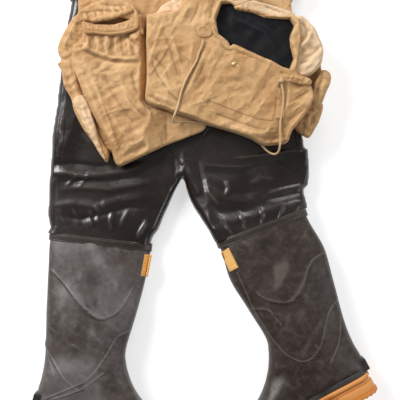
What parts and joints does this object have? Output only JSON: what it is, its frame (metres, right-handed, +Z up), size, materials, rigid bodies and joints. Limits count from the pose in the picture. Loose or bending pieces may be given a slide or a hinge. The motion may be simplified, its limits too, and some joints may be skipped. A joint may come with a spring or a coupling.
{
  "type": "chest waders",
  "caption": "Boot-foot chest waders laid flat: coated legs with rubber boots on their sides, and a canvas upper folded down over the thighs with its chest piece, pocket and drawcord.",
  "frame": {"origin": "centre of the footprint, on the floor that the waders lie on", "axes": "+Y from the boots to the waist fold, +X to the right seen from above with the waist at the top, +Z up"},
  "size_m": [0.7786, 1.061, 0.1214],
  "materials": {
    "coated_cloth": "dark brown rubber-coated cloth, soft gloss",
    "boot_rubber": "grey-brown moulded rubber, scuffed and bloomed",
    "black_rubber": "black rubber tape and foxing",
    "sole_rubber": "orange moulded sole rubber",
    "canvas": "tan cotton canvas, crumpled",
    "lining": "black rubberised lining",
    "cord": "braided tan cord",
    "label": "orange-yellow woven patch, blank",
    "felt": "grey felt insole",
    "steel": "plain steel",
    "brass": "dull brass snap"
  },
  "bodies": {
    "root": {"trunk": "coated_cloth", "crotch_patch": "coated_cloth", "centre_seam_tape": "black_rubber", "waist_tape": "black_rubber"},
    "left_thigh": {"left_thigh": "coated_cloth", "left_seam_tape": "coated_cloth"},
    "left_shin": {"left_boot_upper": "boot_rubber", "left_boot_top_band": "black_rubber", "left_shin_overlay": "boot_rubber", "left_ankle_overlay": "boot_rubber", "left_toe_cap": "boot_rubber", "left_foxing_band": "black_rubber", "left_kick_lug": "black_rubber", "left_sole_lip": "sole_rubber", "left_outsole": "sole_rubber", "left_heel_block": "sole_rubber", "left_shank": "steel", "left_insole": "felt", "left_label": "label", "left_knee_sleeve": "coated_cloth"},
    "right_thigh": {"right_thigh": "coated_cloth", "right_seam_tape": "coated_cloth"},
    "right_shin": {"right_boot_upper": "boot_rubber", "right_boot_top_band": "black_rubber", "right_shin_overlay": "boot_rubber", "right_ankle_overlay": "boot_rubber", "right_toe_cap": "boot_rubber", "right_foxing_band": "black_rubber", "right_kick_lug": "black_rubber", "right_sole_lip": "sole_rubber", "right_outsole": "sole_rubber", "right_heel_block": "sole_rubber", "right_shank": "steel", "right_insole": "felt", "right_label": "label", "right_knee_sleeve": "coated_cloth"},
    "upper": {"upper_fold": "canvas", "side_panel": "canvas", "front_casing": "canvas", "back_casing": "canvas", "turned_strip": "canvas", "lower_corner": "canvas", "upper_corner": "canvas"},
    "chest": {"back_cloth": "canvas", "chest_piece": "canvas", "chest_lining": "lining", "back_hem": "canvas", "shoulder_fold": "canvas", "front_pocket": "canvas", "snap_cap": "brass", "snap_socket": "brass", "tie_tape": "canvas", "casing_tab": "canvas", "drawcord": "cord", "cord_knot": "cord"}
  },
  "joints": [
    {"name": "left_hip", "type": "hinge", "parent": "root", "child": "left_thigh", "pos_m": [-0.20005, 0.16748, 0], "axis": [0, 0, -1], "range_deg": [-6, 18]},
    {"name": "left_knee", "type": "hinge", "parent": "left_thigh", "child": "left_shin", "pos_m": [-0.22231, 0.02015, 0], "axis": [0, 0, -1], "range_deg": [0, 45]},
    {"name": "right_hip", "type": "hinge", "parent": "root", "child": "right_thigh", "pos_m": [0.09395, 0.16748, 0], "axis": [0, 0, 1], "range_deg": [-6, 18]},
    {"name": "right_knee", "type": "hinge", "parent": "right_thigh", "child": "right_shin", "pos_m": [0.10795, 0.04628, 0], "axis": [0, 0, 1], "range_deg": [0, 45]},
    {"name": "upper_fold", "type": "hinge", "parent": "root", "child": "upper", "pos_m": [-0.04805, 0.53048, 0.04995], "axis": [-1, 0, 0], "range_deg": [0, 165]},
    {"name": "chest_fold", "type": "hinge", "parent": "upper", "child": "chest", "pos_m": [-0.01205, 0.17128, 0.06625], "axis": [0.943, -0.3328, 0], "range_deg": [0, 90]}
  ]
}
